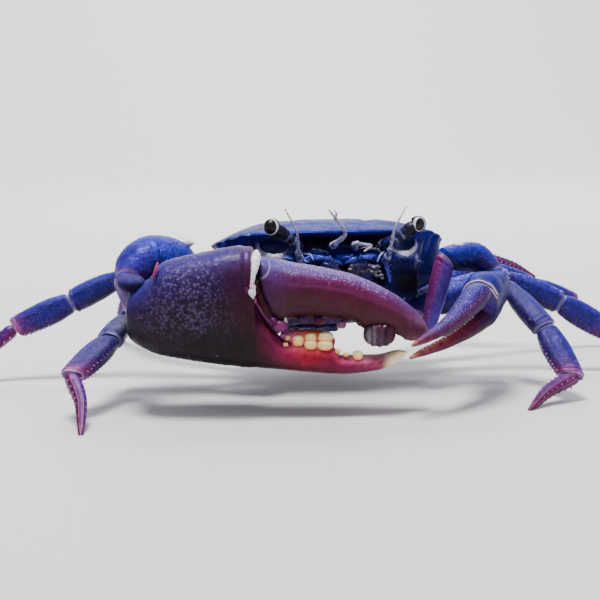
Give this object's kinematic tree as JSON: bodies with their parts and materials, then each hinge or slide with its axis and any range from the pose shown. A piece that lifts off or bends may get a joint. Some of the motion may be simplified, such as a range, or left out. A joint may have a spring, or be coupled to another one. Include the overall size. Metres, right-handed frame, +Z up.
{
  "type": "crab",
  "caption": "Still, life-size model of a violet-blue freshwater crab, standing with its large right claw folded across its face.",
  "frame": {"origin": "on the floor, under the middle of the whole animal's bounding box", "axes": "+X towards the crab's left side, -Y the way it faces, +Z up"},
  "size_m": [0.1578, 0.0994, 0.0399],
  "materials": {
    "blue_shell": "glossy ultramarine shell",
    "violet_shell": "glossy violet shell",
    "magenta_shell": "satin magenta shell",
    "eye": "polished near-black eye",
    "pale_skin": "soft pale skin"
  },
  "bodies": {
    "root": {"carapace": "blue_shell", "thorax": "violet_shell", "abdomen": "violet_shell", "maxilliped_right": "violet_shell", "maxilliped_left": "violet_shell", "eyestalk_right": "pale_skin", "eyestalk_left": "pale_skin", "eye_right": "eye", "eye_left": "eye", "antenna_right": "pale_skin", "antenna_left": "pale_skin", "antennule_right": "pale_skin", "antennule_left": "pale_skin", "claw_right_ischium": "violet_shell", "claw_right_merus": "violet_shell", "claw_right_carpus": "blue_shell", "claw_right_palm": "violet_shell", "claw_right_dactylus": "magenta_shell", "claw_left_ischium": "violet_shell", "claw_left_merus": "violet_shell", "claw_left_carpus": "blue_shell", "claw_left_palm": "blue_shell", "claw_left_dactylus": "violet_shell", "leg_right_1_merus": "blue_shell", "leg_right_1_carpus": "blue_shell", "leg_right_1_propodus": "blue_shell", "leg_right_1_dactylus": "violet_shell", "leg_right_2_merus": "blue_shell", "leg_right_2_carpus": "blue_shell", "leg_right_2_propodus": "blue_shell", "leg_right_2_dactylus": "violet_shell", "leg_right_3_merus": "blue_shell", "leg_right_3_carpus": "blue_shell", "leg_right_3_propodus": "blue_shell", "leg_right_3_dactylus": "violet_shell", "leg_right_4_merus": "blue_shell", "leg_right_4_carpus": "blue_shell", "leg_right_4_propodus": "blue_shell", "leg_right_4_dactylus": "violet_shell", "leg_left_1_merus": "blue_shell", "leg_left_1_carpus": "blue_shell", "leg_left_1_propodus": "blue_shell", "leg_left_1_dactylus": "violet_shell", "leg_left_2_merus": "blue_shell", "leg_left_2_carpus": "blue_shell", "leg_left_2_propodus": "blue_shell", "leg_left_2_dactylus": "violet_shell", "leg_left_3_merus": "blue_shell", "leg_left_3_carpus": "blue_shell", "leg_left_3_propodus": "blue_shell", "leg_left_3_dactylus": "violet_shell", "leg_left_4_merus": "blue_shell", "leg_left_4_carpus": "blue_shell", "leg_left_4_propodus": "blue_shell", "leg_left_4_dactylus": "violet_shell"}
  },
  "joints": []
}
